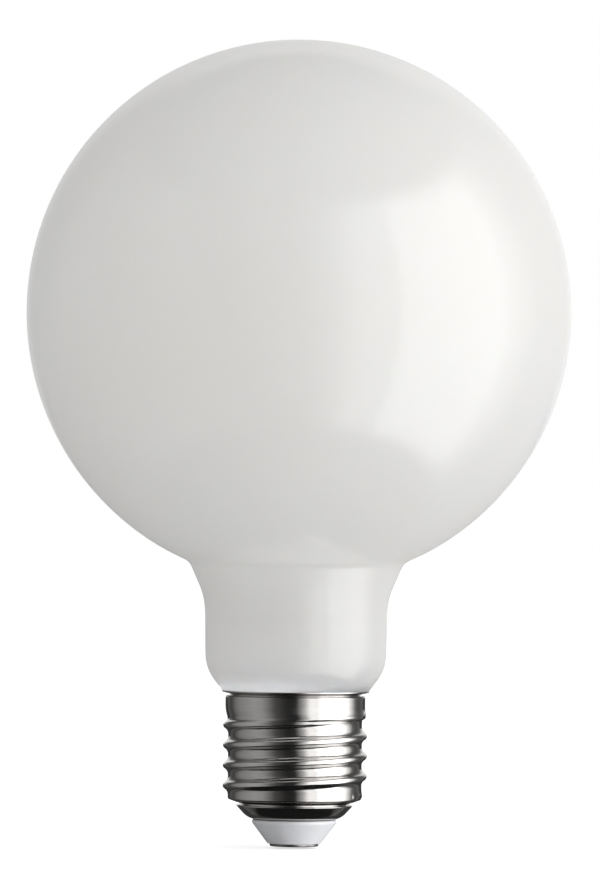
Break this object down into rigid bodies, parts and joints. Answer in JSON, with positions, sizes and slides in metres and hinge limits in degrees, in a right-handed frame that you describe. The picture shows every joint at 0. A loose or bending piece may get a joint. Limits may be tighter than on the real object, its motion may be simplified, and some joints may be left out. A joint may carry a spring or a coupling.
{
  "type": "led globe bulb",
  "caption": "Large round opal glass lamp with a short flared neck and a rolled metal screw cap, for screwing into a ceiling or table lamp holder.",
  "frame": {"origin": "centre of the centre contact's outer face, the lowest point on the lamp's axis", "axes": "+Z along the lamp's axis from the cap towards the globe; X and Y across it, with the thread's lower end near +X"},
  "size_m": [0.098, 0.098, 0.145],
  "materials": {
    "opal_glass": "opal white glass, glossy, not see-through",
    "nickelled_sheet": "bright nickel plate on rolled sheet",
    "white_insulator": "smooth white moulded insulator",
    "contact_metal": "dull tinned metal"
  },
  "bodies": {
    "root": {"opal_globe": "opal_glass", "screw_shell": "nickelled_sheet", "insulator": "white_insulator", "centre_contact": "contact_metal"}
  },
  "joints": []
}
